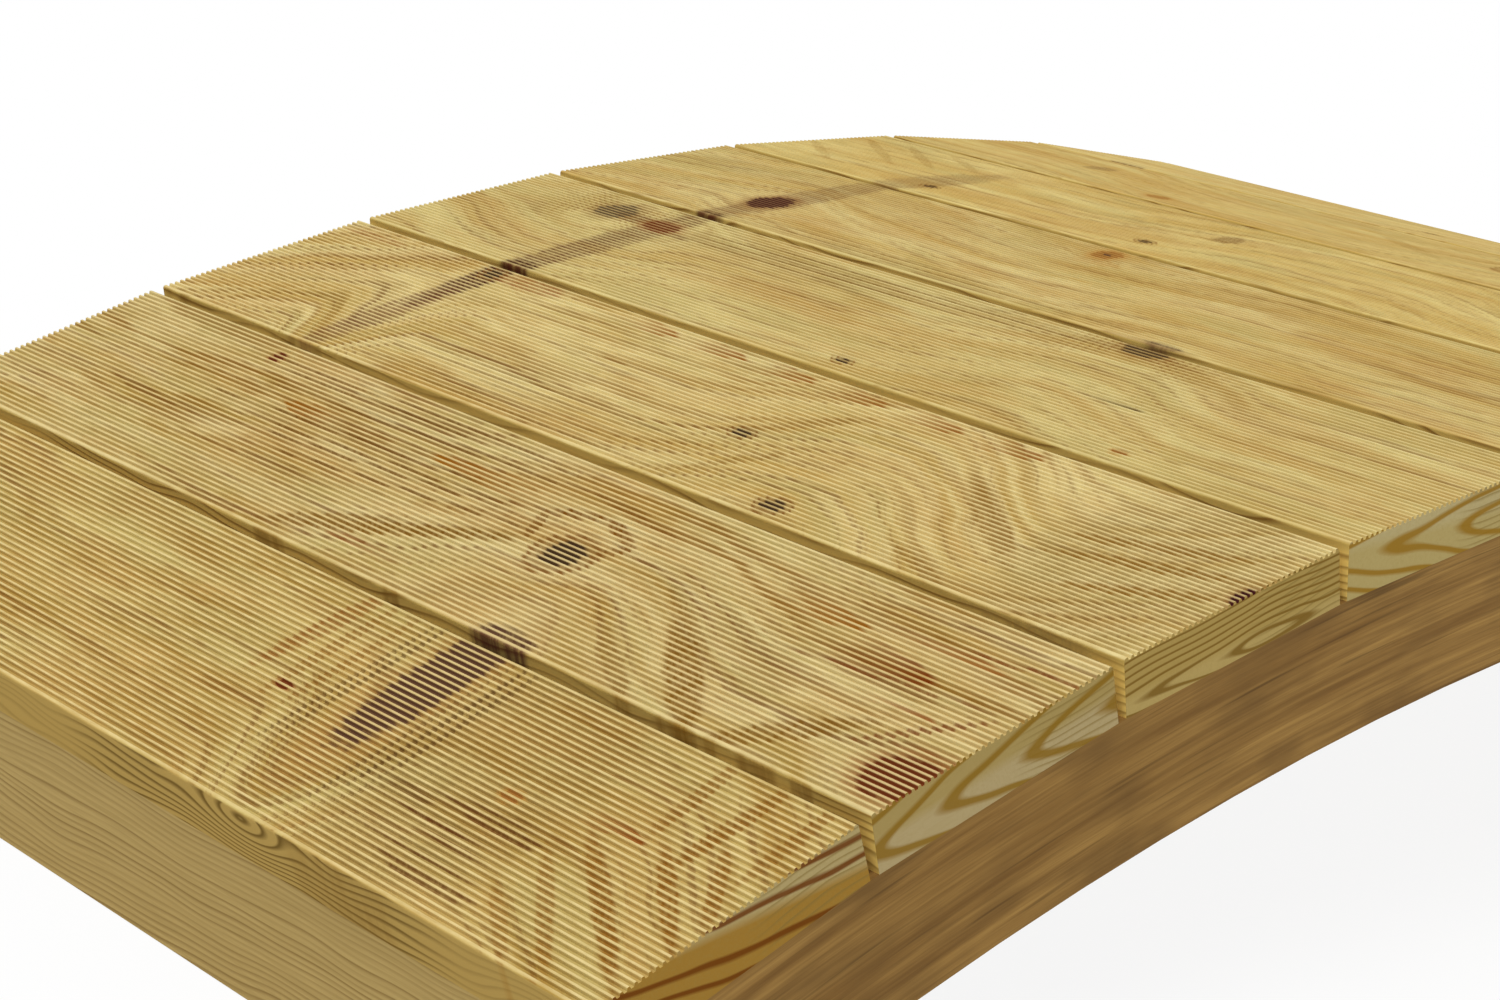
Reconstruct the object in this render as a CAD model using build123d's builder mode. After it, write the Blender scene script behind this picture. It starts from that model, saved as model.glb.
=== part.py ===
from build123d import *

import os
from math import atan, cos, floor, sin, sqrt, tan

# Arched garden bridge, about 1.7 m long: ribbed softwood boards laid across two arched side
# beams, with an end board standing between the beams at each end. X runs along the bridge,
# Y across it, Z up, with the origin on the ground under the middle of the deck.

# Deck boards, laid with an open joint between them
board_count = 12
board_width = 140.0
board_thickness = 28.0
board_gap = 5.0
deck_width = 750.0
board_edge_radius = 1.5

# Ribs sawn along the walking face of each deck board
rib_pitch = 3.6
rib_depth = 1.4
rib_margin = 1.5
rib_crest_share = 0.3
rib_groove_share = 0.42

# Arch: radius to the undersides of the boards
seat_radius = 1960.0

# Side beams, flush with the ends of the boards, with their ends cut plumb and their feet level
beam_depth = 66.0
beam_thickness = 45.0
foot_length = 28.0

# End boards, standing on the ground between the beams
end_board_thickness = 28.0

# Each board seats on a flat of the beam that is as long as the board and one joint
board_step = 2 * atan((board_width + board_gap) / 2 / seat_radius)
end_slope = (board_count - 1) / 2 * board_step
end_x = seat_radius * sin(end_slope) + board_width / 2 * cos(end_slope)
underside_radius = seat_radius - beam_depth
arch_centre_z = -sqrt(underside_radius**2 - (end_x - foot_length) ** 2)
end_seat_z = arch_centre_z + seat_radius * cos(end_slope) - board_width / 2 * sin(end_slope)

os.makedirs("parts", exist_ok=True)

# Section of a deck board: flat below, ribbed above between two plain margins
groove_count = floor((board_width - 2 * rib_margin) / rib_pitch)
groove_mouth = rib_pitch * (1 - rib_crest_share)
groove_floor = rib_pitch * rib_groove_share
board_section = [(-board_width / 2, 0), (-board_width / 2, board_thickness)]
for groove in range(groove_count):
    middle = (groove - (groove_count - 1) / 2) * rib_pitch
    board_section += [
        (middle - groove_mouth / 2, board_thickness),
        (middle - groove_floor / 2, board_thickness - rib_depth),
        (middle + groove_floor / 2, board_thickness - rib_depth),
        (middle + groove_mouth / 2, board_thickness),
    ]
board_section += [(board_width / 2, board_thickness), (board_width / 2, 0)]

# Deck boards, each square to the arch at its own middle
for number in range(1, board_count + 1):
    slope = (number - (board_count + 1) / 2) * board_step
    seat = Plane(
        origin=(seat_radius * sin(slope), 0, arch_centre_z + seat_radius * cos(slope)),
        x_dir=(cos(slope), 0, -sin(slope)),
        z_dir=(0, -1, 0),
    )
    with BuildPart() as deck_board:
        with BuildSketch(seat) as section:
            with BuildLine():
                Polyline(*board_section, close=True)
            make_face()
            long_sides = section.vertices().group_by(Axis.X)
            fillet(
                [long_sides[0].sort_by(Axis.Y)[-1], long_sides[-1].sort_by(Axis.Y)[-1]],
                radius=board_edge_radius,
            )
        extrude(amount=deck_width / 2, both=True)
    deck_board.part.label = f"deck_board_{number:02d}"
    export_step(deck_board.part, f"parts/{deck_board.part.label}.step")

# Top edge of a side beam: one flat for each board, meeting under the joints
joint_radius = seat_radius / cos(board_step / 2)
beam_top = [(-end_x, end_seat_z)]
for joint in range(1, board_count):
    turn = (joint - board_count / 2) * board_step
    beam_top.append((joint_radius * sin(turn), arch_centre_z + joint_radius * cos(turn)))
beam_top.append((end_x, end_seat_z))

# Side beams, sawn to the arch with an even depth between their feet
for side, outer_y, inward in (("left", deck_width / 2, 1), ("right", -deck_width / 2, -1)):
    with BuildPart() as side_beam:
        with BuildSketch(Plane.XZ.offset(-outer_y)):
            with BuildLine():
                Polyline((foot_length - end_x, 0), (-end_x, 0), *beam_top, (end_x, 0), (end_x - foot_length, 0))
                ThreePointArc(
                    (end_x - foot_length, 0),
                    (0, arch_centre_z + underside_radius),
                    (foot_length - end_x, 0),
                )
            make_face()
        extrude(amount=inward * beam_thickness)
    side_beam.part.label = f"side_beam_{side}"
    export_step(side_beam.part, f"parts/{side_beam.part.label}.step")

# End boards, plumb, with their top edge bevelled to the slope of the deck board above
end_board_rise = end_board_thickness * tan(end_slope)
for end, outward in (("near", -1), ("far", 1)):
    with BuildPart() as end_board:
        with BuildSketch(Plane.XZ):
            with BuildLine():
                Polyline(
                    (outward * end_x, 0),
                    (outward * end_x, end_seat_z),
                    (outward * (end_x - end_board_thickness), end_seat_z + end_board_rise),
                    (outward * (end_x - end_board_thickness), 0),
                    close=True,
                )
            make_face()
        extrude(amount=deck_width / 2 - beam_thickness, both=True)
    end_board.part.label = f"end_board_{end}"
    export_step(end_board.part, f"parts/{end_board.part.label}.step")
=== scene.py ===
from math import atan, cos, radians, sin

import bpy
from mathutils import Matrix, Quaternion, Vector


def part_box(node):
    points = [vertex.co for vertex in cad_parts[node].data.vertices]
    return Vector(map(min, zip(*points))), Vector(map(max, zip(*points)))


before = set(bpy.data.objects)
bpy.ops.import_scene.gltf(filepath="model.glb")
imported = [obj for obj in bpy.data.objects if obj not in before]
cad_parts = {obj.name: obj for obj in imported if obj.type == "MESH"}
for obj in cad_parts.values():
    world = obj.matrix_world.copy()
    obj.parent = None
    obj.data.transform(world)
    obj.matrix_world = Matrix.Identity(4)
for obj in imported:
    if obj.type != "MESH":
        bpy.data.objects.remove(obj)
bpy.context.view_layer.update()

# Side beams: two planks of pine sawn to the arch, stained brown by the treatment, that carry the
# deck at its edges. The boards lie on flats along their top edge, and their feet are cut level.

MM = 0.001
SEAT_RADIUS = 1960 * MM
BOARD_WIDTH = 140 * MM
BOARD_GAP = 5 * MM
BOARD_STEP = 2 * atan((BOARD_WIDTH + BOARD_GAP) / 2 / SEAT_RADIUS)
ARCH_CENTRE_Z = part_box("side_beam_left")[1].z - SEAT_RADIUS / cos(BOARD_STEP / 2)


def paint(code):
    """The linear colour of an sRGB hex value."""
    shares = [int(code[i : i + 2], 16) / 255 for i in (1, 3, 5)]
    return [c / 12.92 if c <= 0.04045 else ((c + 0.055) / 1.055) ** 2.4 for c in shares] + [1.0]


def add(tree, kind, wires=None, **settings):
    """Adds a node with its settings, and wires its inputs.

    A wire is a value, a socket, or a node, which stands for its first output in use.
    """
    node = tree.nodes.new(kind)
    for name, value in settings.items():
        setattr(node, name, value)
    for name, value in (wires or {}).items():
        if isinstance(value, bpy.types.Node):
            value = next(socket for socket in value.outputs if socket.enabled)
        if isinstance(value, bpy.types.NodeSocket):
            tree.links.new(value, node.inputs[name])
        else:
            node.inputs[name].default_value = value
    return node


def blank(name):
    """A material with an empty node tree."""
    material = bpy.data.materials.new(name)
    material.use_nodes = True
    material.node_tree.nodes.clear()
    return material


def dress(node, material):
    """Gives a piece of the bridge its one finish."""
    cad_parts[node].data.materials.clear()
    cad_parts[node].data.materials.append(material)


def beam_pine(seed):
    """Brown treated pine, planed: soft streaks that follow the arch, hardly any gloss."""
    material = blank("brown_treated_pine")
    tree = material.node_tree
    place = add(tree, "ShaderNodeTexCoord")
    about_axis = add(
        tree,
        "ShaderNodeMapping",
        {"Vector": place.outputs["Object"], "Location": (0, 0, ARCH_CENTRE_Z), "Scale": (MM, MM, MM)},
        vector_type="TEXTURE",
    )
    spot = add(tree, "ShaderNodeSeparateXYZ", {0: about_axis})
    flat = add(tree, "ShaderNodeCombineXYZ", {"X": spot.outputs["X"], "Z": spot.outputs["Z"]})
    radius = add(tree, "ShaderNodeVectorMath", {0: flat}, operation="LENGTH")
    turn = add(tree, "ShaderNodeMath", {0: spot.outputs["X"], 1: spot.outputs["Z"]}, operation="ARCTAN2")
    along = add(tree, "ShaderNodeMath", {0: turn, 1: SEAT_RADIUS / MM}, operation="MULTIPLY")
    unrolled = add(tree, "ShaderNodeCombineXYZ", {"X": along, "Y": spot.outputs["Y"], "Z": radius})

    streaks = add(
        tree,
        "ShaderNodeMapping",
        {"Vector": unrolled, "Location": (seed, 0, 0), "Scale": (1 / 170, 1 / 24, 1 / 6)},
    )
    streak = add(
        tree,
        "ShaderNodeTexNoise",
        {"Vector": streaks, "Scale": 1, "Detail": 5, "Roughness": 0.62},
    )
    fibres = add(
        tree,
        "ShaderNodeMapping",
        {"Vector": unrolled, "Location": (0, seed, 0), "Scale": (1 / 70, 1 / 2, 1 / 1.3)},
    )
    fibre = add(tree, "ShaderNodeTexNoise", {"Vector": fibres, "Scale": 1, "Detail": 3, "Roughness": 0.6})
    clouds = add(
        tree,
        "ShaderNodeMapping",
        {"Vector": unrolled, "Location": (0, 0, seed), "Scale": (1 / 60, 1 / 60, 1 / 24)},
    )
    cloud = add(tree, "ShaderNodeTexNoise", {"Vector": clouds, "Scale": 1, "Detail": 2})
    cracks = add(
        tree,
        "ShaderNodeMapping",
        {"Vector": unrolled, "Location": (seed, seed, 0), "Scale": (1 / 110, 1 / 8, 1 / 2.4)},
    )
    crack = add(tree, "ShaderNodeTexNoise", {"Vector": cracks, "Scale": 1, "Detail": 2})

    streak_share = add(tree, "ShaderNodeMapRange", {"Value": streak, "From Min": 0.32, "From Max": 0.68})
    fibre_share = add(
        tree,
        "ShaderNodeMapRange",
        {"Value": fibre, "From Min": 0.36, "From Max": 0.7, "To Max": 0.5},
    )
    cloud_share = add(
        tree,
        "ShaderNodeMapRange",
        {"Value": cloud, "From Min": 0.48, "From Max": 0.7, "To Max": 0.6},
    )
    crack_share = add(
        tree,
        "ShaderNodeMapRange",
        {"Value": crack, "From Min": 0.6, "From Max": 0.7, "To Max": 0.55},
    )
    colour = paint("#ac8647")
    layers = (
        (streak_share, "#7f5c2b"),
        (cloud_share, "#6a4d26"),
        (fibre_share, "#65461f"),
        (crack_share, "#503818"),
    )
    for share, shade in layers:
        colour = add(tree, "ShaderNodeMix", {0: share, 6: colour, 7: paint(shade)}, data_type="RGBA")

    relief = add(tree, "ShaderNodeBump", {"Strength": 0.35, "Distance": 0.3 * MM, "Height": fibre})
    surface = add(
        tree,
        "ShaderNodeBsdfPrincipled",
        {"Base Color": colour, "Roughness": 0.7, "Specular IOR Level": 0.15, "Normal": relief},
    )
    add(tree, "ShaderNodeOutputMaterial", {"Surface": surface})
    return material


dress("side_beam_left", beam_pine(seed=13.0))
dress("side_beam_right", beam_pine(seed=4.0))

# End boards: a plumb board of planed pine between the beams at each end, bevelled on top to the
# slope of the deck board above. Their fine grain runs across the bridge.

END_RING_PITCH = 3.1
END_RING_WAVE = 34.0


def end_pine(seed):
    """Pale treated pine, planed: close olive-brown growth lines along the board, with slow waves."""
    material = blank("planed_pine_end_board")
    tree = material.node_tree
    place = add(tree, "ShaderNodeTexCoord")
    local = add(
        tree,
        "ShaderNodeMapping",
        {"Vector": place.outputs["Object"], "Scale": (MM, MM, MM)},
        vector_type="TEXTURE",
    )
    spot = add(tree, "ShaderNodeSeparateXYZ", {0: local})
    waves = add(
        tree,
        "ShaderNodeMapping",
        {"Vector": local, "Location": (seed, 0, 0), "Scale": (1 / 90, 1 / 230, 1 / 60)},
    )
    wave = add(tree, "ShaderNodeTexNoise", {"Vector": waves, "Scale": 1, "Detail": 2})
    lift = add(tree, "ShaderNodeMath", {0: wave, 1: END_RING_WAVE}, operation="MULTIPLY")
    height = add(tree, "ShaderNodeMath", {0: spot.outputs["Z"], 1: lift}, operation="ADD")
    ring = add(tree, "ShaderNodeMath", {0: height, 1: END_RING_PITCH}, operation="DIVIDE")
    phase = add(tree, "ShaderNodeMath", {0: ring}, operation="FRACT")
    number = add(tree, "ShaderNodeMath", {0: ring}, operation="FLOOR")
    luck = add(tree, "ShaderNodeTexWhiteNoise", {"W": number}, noise_dimensions="1D")
    rise = add(tree, "ShaderNodeMapRange", {"Value": phase, "From Min": 0.35, "From Max": 0.85})
    fall = add(
        tree,
        "ShaderNodeMapRange",
        {"Value": phase, "From Min": 0.85, "From Max": 1.0, "To Min": 1, "To Max": 0},
    )
    line = add(tree, "ShaderNodeMath", {0: rise, 1: fall}, operation="MULTIPLY")
    strength = add(tree, "ShaderNodeMapRange", {"Value": luck, "To Min": 0.25, "To Max": 0.85})
    line_share = add(tree, "ShaderNodeMath", {0: line, 1: strength}, operation="MULTIPLY")
    fibres = add(tree, "ShaderNodeMapping", {"Vector": local, "Scale": (1 / 1.5, 1 / 50, 1 / 1.2)})
    fibre = add(tree, "ShaderNodeTexNoise", {"Vector": fibres, "Scale": 1, "Detail": 3, "Roughness": 0.6})
    fibre_share = add(
        tree,
        "ShaderNodeMapRange",
        {"Value": fibre, "From Min": 0.35, "From Max": 0.75, "To Max": 0.35},
    )

    colour = paint("#ad945a")
    for share, shade in ((line_share, "#735826"), (fibre_share, "#80672f")):
        colour = add(tree, "ShaderNodeMix", {0: share, 6: colour, 7: paint(shade)}, data_type="RGBA")

    relief = add(tree, "ShaderNodeBump", {"Strength": 0.3, "Distance": 0.3 * MM, "Height": fibre})
    surface = add(
        tree,
        "ShaderNodeBsdfPrincipled",
        {"Base Color": colour, "Roughness": 0.68, "Specular IOR Level": 0.15, "Normal": relief},
    )
    add(tree, "ShaderNodeOutputMaterial", {"Surface": surface})
    return material


dress("end_board_near", end_pine(seed=2.0))
dress("end_board_far", end_pine(seed=9.0))

# Deck boards: flat-sawn pine decking, planed, with fine ribs cut along the walking face. Each board
# lies across both beams; its grain, knots and stains are its own, and its rib crests are painted pale as
# a highlight.

BOARD_HALF_WIDTH = BOARD_WIDTH / 2 / MM
BOARD_HALF_LENGTH = (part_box("deck_board_01")[1].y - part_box("deck_board_01")[0].y) / 2 / MM
BOARD_THICKNESS = 28.0
RIB_DEPTH = 1.4
RIGHT_THROUGH = 400

# Fibres stray this far either way, and each board's grain starts at a place of its own
STRAY_ACROSS = 11
STRAY_ALONG = 15
SEED_STEP = 31.0

# Growth lines on the long edges and the sawn ends: their pitch and how far they wave
EDGE_RING_PITCH = 4.4
EDGE_RING_WAVE = 36
SWIRL_RING_STEP = 9.0
SWIRL_RING_START = 54.0
LEVEL_RING_PITCH = 3.4
LEVEL_RING_WAVE = 20
LEVEL_RING_TILT = 0.04
HAIRPIN_WAVE = 60
HAIRPIN_STEEPNESS = 5.0
HAIRPIN_ROUNDING = 4.0

# Heart and halo colours of each kind of knot; a bent knot only parts the grain. The arcs beside faded and
# arced knots are drawn wider apart than the rings of a real one, so that they show.
KNOT_COLOURS = {
    "slate": ("#573f28", "#94642a"),
    "red": ("#7c3e1e", "#a2602a"),
    "purple": ("#4e2222", "#935c2c"),
    "spike": ("#6b4a34", "#a5763a"),
    "rust": ("#a87436", "#bf8a3c"),
    "faded": ("#6d563a", "#94682f"),
    "arced": ("#5c452c", "#94642a"),
    "bent": None,
}
RINGED_KNOT = "slate"
ARCED_KNOTS = ("faded", "arced")
ARC_PITCH = 5.5


def deck_pine(
    number, slope, edges, woods, grain_pitch, figure, swerves, knots, stains, tongues, swirls, rings, crest_highlight
):
    """Flat-sawn treated pine: straw earlywood, honey to rust latewood that swerves round its knots.

    Places are in millimetres across the board from its middle and along it from the middle of the deck.
    """
    material = blank(f"ribbed_pine_{number:02d}")
    tree = material.node_tree
    place = add(tree, "ShaderNodeTexCoord")
    seat = (SEAT_RADIUS * sin(slope), 0, ARCH_CENTRE_Z + SEAT_RADIUS * cos(slope))
    local = add(
        tree,
        "ShaderNodeMapping",
        {
            "Vector": place.outputs["Object"],
            "Location": seat,
            "Rotation": (0, slope, 0),
            "Scale": (MM, MM, MM),
        },
        vector_type="TEXTURE",
    )
    spot = add(tree, "ShaderNodeSeparateXYZ", {0: local})
    seed = SEED_STEP * number

    # Slow wandering of the fibres
    slow = add(
        tree,
        "ShaderNodeMapping",
        {"Vector": local, "Location": (seed, 0, 0), "Scale": (1 / 42, 1 / 95, 1 / 60)},
    )
    wander = add(tree, "ShaderNodeTexNoise", {"Vector": slow, "Scale": 1, "Detail": 3, "Roughness": 0.55})
    shift = add(
        tree,
        "ShaderNodeVectorMath",
        {
            0: wander.outputs["Color"],
            1: (2 * STRAY_ACROSS, 2 * STRAY_ALONG, 0),
            2: (-STRAY_ACROSS, -STRAY_ALONG, 0),
        },
        operation="MULTIPLY_ADD",
    )
    wandering = add(tree, "ShaderNodeVectorMath", {0: local, 1: shift}, operation="ADD")
    stray = add(tree, "ShaderNodeSeparateXYZ", {0: wandering})
    grain = stray.outputs["X"]
    along = stray.outputs["Y"]

    # Swerves lift the grain across the board between two places along it
    for begin, end, lift in swerves:
        swerve = add(
            tree,
            "ShaderNodeMapRange",
            {"Value": along, "From Min": begin, "From Max": end, "To Max": lift},
            interpolation_type="SMOOTHSTEP",
        )
        grain = add(tree, "ShaderNodeMath", {0: grain, 1: swerve}, operation="SUBTRACT")

    # Knots part the grain; their outlines are ragged along the ribs
    hearts = []
    ripple = add(tree, "ShaderNodeTexNoise", {"Vector": local, "Scale": 1 / 7, "Detail": 2})
    rags = add(
        tree,
        "ShaderNodeMapping",
        {"Vector": local, "Location": (0, 0, seed), "Scale": (1 / 2.6, 1 / 22, 1 / 60)},
    )
    rag = add(tree, "ShaderNodeTexNoise", {"Vector": rags, "Scale": 1, "Detail": 2})
    for kind, across, middle, half_across, half_along in knots:
        toward = add(
            tree,
            "ShaderNodeMapping",
            {
                "Vector": local,
                "Location": (across, middle, 0),
                "Scale": (half_across, half_along, RIGHT_THROUGH),
            },
            vector_type="TEXTURE",
        )
        away = add(tree, "ShaderNodeVectorMath", {0: toward}, operation="LENGTH")
        part = add(
            tree,
            "ShaderNodeMapRange",
            {"Value": away, "From Min": 0.5, "From Max": 3.6, "To Min": 0.85, "To Max": 0},
            interpolation_type="SMOOTHSTEP",
        )
        offset = add(tree, "ShaderNodeMath", {0: spot.outputs["X"], 1: across}, operation="SUBTRACT")
        push = add(tree, "ShaderNodeMath", {0: offset, 1: part}, operation="MULTIPLY")
        grain = add(tree, "ShaderNodeMath", {0: grain, 1: push}, operation="SUBTRACT")
        edge = add(tree, "ShaderNodeMath", {0: ripple, 1: 0.3, 2: away}, operation="MULTIPLY_ADD")
        edge = add(tree, "ShaderNodeMath", {0: rag, 1: 0.7, 2: edge}, operation="MULTIPLY_ADD")
        hearts.append((edge, kind, across, middle, half_along))

    # The rib crests are kept clear of every darker mark, as part of their painted highlight
    off_highlight = add(
        tree,
        "ShaderNodeMapRange",
        {
            "Value": spot.outputs["Z"],
            "From Min": BOARD_THICKNESS - 0.35 * RIB_DEPTH,
            "From Max": BOARD_THICKNESS - 0.05 * RIB_DEPTH,
            "To Min": 1,
            "To Max": 1 - 1.2 * crest_highlight,
        },
    )

    # Growth bands: broad tones, then years that darken slowly to a latewood line and end sharply
    flow = add(tree, "ShaderNodeCombineXYZ", {"X": grain, "Y": along, "Z": spot.outputs["Z"]})
    broad = add(
        tree,
        "ShaderNodeMapping",
        {"Vector": flow, "Location": (seed, seed, 0), "Scale": (1 / 19, 1 / 150, 1 / 60)},
    )
    tone = add(
        tree,
        "ShaderNodeTexNoise",
        {"Vector": broad, "Scale": 1, "Detail": 2.5, "Distortion": 0.5},
    )
    tone_share = add(tree, "ShaderNodeMapRange", {"Value": tone, "From Min": 0.36, "From Max": 0.66})
    hues = add(
        tree,
        "ShaderNodeMapping",
        {"Vector": flow, "Location": (0, seed, seed), "Scale": (1 / 30, 1 / 110, 1 / 60)},
    )
    hue = add(tree, "ShaderNodeTexNoise", {"Vector": hues, "Scale": 1, "Detail": 3, "Roughness": 0.6})
    blush_share = add(
        tree,
        "ShaderNodeMapRange",
        {"Value": hue, "From Min": 0.5, "From Max": 0.68, "To Max": 0.45},
    )
    olive_share = add(
        tree,
        "ShaderNodeMapRange",
        {"Value": hue, "From Min": 0.34, "From Max": 0.48, "To Min": 0.5, "To Max": 0},
    )
    eddies = add(
        tree,
        "ShaderNodeMapping",
        {"Vector": flow, "Location": (seed, 0, seed), "Scale": (1 / 34, 1 / 125, 1 / 60)},
    )
    eddy = add(tree, "ShaderNodeTexNoise", {"Vector": eddies, "Scale": 1, "Detail": 2})
    year = add(tree, "ShaderNodeMath", {0: grain, 1: grain_pitch}, operation="DIVIDE")
    year = add(tree, "ShaderNodeMath", {0: eddy, 1: 1 + 2.5 * figure, 2: year}, operation="MULTIPLY_ADD")
    phase = add(tree, "ShaderNodeMath", {0: year}, operation="FRACT")
    count = add(tree, "ShaderNodeMath", {0: year}, operation="FLOOR")
    luck = add(tree, "ShaderNodeTexWhiteNoise", {"W": count}, noise_dimensions="1D")
    rise = add(
        tree,
        "ShaderNodeMapRange",
        {"Value": phase, "From Min": 0.2, "From Max": 0.6},
        interpolation_type="SMOOTHSTEP",
    )
    fall = add(
        tree,
        "ShaderNodeMapRange",
        {"Value": phase, "From Min": 0.8, "From Max": 1.0, "To Min": 1, "To Max": 0},
    )
    band = add(tree, "ShaderNodeMath", {0: rise, 1: fall}, operation="MULTIPLY")
    patches = add(
        tree,
        "ShaderNodeMapping",
        {"Vector": flow, "Location": (0, seed, 0), "Scale": (1 / 38, 1 / 120, 1 / 60)},
    )
    patch = add(tree, "ShaderNodeTexNoise", {"Vector": patches, "Scale": 1, "Detail": 2})
    patch_share = add(
        tree,
        "ShaderNodeMapRange",
        {"Value": patch, "From Min": 0.36, "From Max": 0.6, "To Min": 0.2},
    )
    strength = add(tree, "ShaderNodeMapRange", {"Value": luck, "To Min": 0.1 * figure, "To Max": figure})
    band_share = add(tree, "ShaderNodeMath", {0: band, 1: strength}, operation="MULTIPLY")
    bold = add(tree, "ShaderNodeMapRange", {"Value": luck, "From Min": 0.55, "From Max": 0.75})
    wall_share = add(tree, "ShaderNodeMath", {0: band, 1: bold}, operation="MULTIPLY")
    band_share = add(tree, "ShaderNodeMath", {0: band_share, 1: patch_share}, operation="MULTIPLY")
    band_share = add(tree, "ShaderNodeMath", {0: band_share, 1: off_highlight}, operation="MULTIPLY")

    # Fine brown lines, fibres and short dashes that follow the same flow
    lines = add(
        tree,
        "ShaderNodeMapping",
        {"Vector": flow, "Location": (0, 0, seed), "Scale": (1 / 6, 1 / 190, 1 / 9)},
    )
    line = add(tree, "ShaderNodeTexNoise", {"Vector": lines, "Scale": 1, "Detail": 3, "Roughness": 0.55})
    line_share = add(
        tree,
        "ShaderNodeMapRange",
        {"Value": line, "From Min": 0.53, "From Max": 0.67, "To Max": 0.35 + 0.3 * figure},
    )
    line_share = add(tree, "ShaderNodeMath", {0: line_share, 1: off_highlight}, operation="MULTIPLY")
    fibres = add(tree, "ShaderNodeMapping", {"Vector": flow, "Scale": (1 / 1.5, 1 / 45, 1 / 1.5)})
    fibre = add(tree, "ShaderNodeTexNoise", {"Vector": fibres, "Scale": 1, "Detail": 2, "Roughness": 0.6})
    fibre_share = add(
        tree,
        "ShaderNodeMapRange",
        {"Value": fibre, "From Min": 0.42, "From Max": 0.75, "To Max": 0.2},
    )
    dash_share = add(
        tree,
        "ShaderNodeMapRange",
        {"Value": rag, "From Min": 0.52, "From Max": 0.72, "To Max": 0.25},
    )

    early, late = woods
    colour = paint(early)
    tones = (
        (tone_share, late),
        (blush_share, "#c49b56"),
        (olive_share, "#c4b472"),
        (fibre_share, "#a88b46"),
        (dash_share, "#a4813e"),
    )
    for share, shade in tones:
        colour = add(tree, "ShaderNodeMix", {0: share, 6: colour, 7: paint(shade)}, data_type="RGBA")

    # Rib crests painted pale along broken lengths: a painted highlight
    highlight_breaks = add(
        tree,
        "ShaderNodeMapping",
        {"Vector": local, "Location": (0, seed, 0), "Scale": (1 / 2.5, 1 / 16, 1)},
    )
    highlight_break = add(tree, "ShaderNodeTexNoise", {"Vector": highlight_breaks, "Scale": 1, "Detail": 3, "Roughness": 0.6})
    highlight_break_share = add(
        tree,
        "ShaderNodeMapRange",
        {"Value": highlight_break, "From Min": 0.34, "From Max": 0.62, "To Min": 0.4},
    )
    crest_highlight_rise = add(
        tree,
        "ShaderNodeMapRange",
        {
            "Value": spot.outputs["Z"],
            "From Min": BOARD_THICKNESS - 0.3 * RIB_DEPTH,
            "From Max": BOARD_THICKNESS,
            "To Max": 0.95 * crest_highlight,
        },
    )
    crest_highlight_share = add(tree, "ShaderNodeMath", {0: crest_highlight_rise, 1: highlight_break_share}, operation="MULTIPLY")
    for share, shade in ((crest_highlight_share, "#eed89c"), (band_share, "#9a6c20"), (line_share, "#84501b")):
        colour = add(tree, "ShaderNodeMix", {0: share, 6: colour, 7: paint(shade)}, data_type="RGBA")

    # Long edges: the growth lines run along the board and bend round swirls, and in a joint the lip is
    # painted darker as shade
    ripples = add(
        tree,
        "ShaderNodeMapping",
        {"Vector": local, "Location": (seed, 0, 0), "Scale": (1 / 80, 1 / 140, 1 / 45)},
    )
    rippling = add(tree, "ShaderNodeTexNoise", {"Vector": ripples, "Scale": 1, "Detail": 1.5})
    layer = add(
        tree,
        "ShaderNodeMath",
        {0: rippling, 1: EDGE_RING_WAVE, 2: spot.outputs["Z"]},
        operation="MULTIPLY_ADD",
    )
    layer_strength = patch_share
    for middle, up, half_along, half_up in swirls:
        toward = add(
            tree,
            "ShaderNodeMapping",
            {"Vector": local, "Location": (0, middle, up), "Scale": (RIGHT_THROUGH, half_along, half_up)},
            vector_type="TEXTURE",
        )
        away = add(tree, "ShaderNodeVectorMath", {0: toward}, operation="LENGTH")
        part = add(
            tree,
            "ShaderNodeMapRange",
            {"Value": away, "From Min": 0.8, "From Max": 3.0, "To Min": 1, "To Max": 0},
            interpolation_type="SMOOTHSTEP",
        )
        around = add(
            tree,
            "ShaderNodeMath",
            {0: away, 1: -SWIRL_RING_STEP, 2: SWIRL_RING_START},
            operation="MULTIPLY_ADD",
        )
        layer = add(tree, "ShaderNodeMix", {0: part, 2: layer, 3: around})
        beside = add(tree, "ShaderNodeMath", {0: spot.outputs["Y"], 1: middle}, operation="SUBTRACT")
        beside = add(tree, "ShaderNodeMath", {0: beside}, operation="ABSOLUTE")
        layer_strength = add(
            tree,
            "ShaderNodeMapRange",
            {"Value": beside, "From Min": 110, "From Max": 150, "To Min": 1, "To Max": 0.3},
        )
    layer_year = add(tree, "ShaderNodeMath", {0: layer, 1: EDGE_RING_PITCH}, operation="DIVIDE")
    layer_phase = add(tree, "ShaderNodeMath", {0: layer_year}, operation="FRACT")
    layer_rise = add(
        tree,
        "ShaderNodeMapRange",
        {"Value": layer_phase, "From Min": 0.45, "From Max": 0.8},
    )
    layer_fall = add(
        tree,
        "ShaderNodeMapRange",
        {"Value": layer_phase, "From Min": 0.86, "From Max": 1.0, "To Min": 0.8, "To Max": 0},
    )
    layer_line = add(tree, "ShaderNodeMath", {0: layer_rise, 1: layer_fall}, operation="MULTIPLY")
    layer_line = add(tree, "ShaderNodeMath", {0: layer_line, 1: layer_strength}, operation="MULTIPLY")
    far_share = add(
        tree,
        "ShaderNodeMapRange",
        {"Value": spot.outputs["X"], "From Min": -1, "From Max": 1},
    )
    near_edge, far_edge = edges
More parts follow.
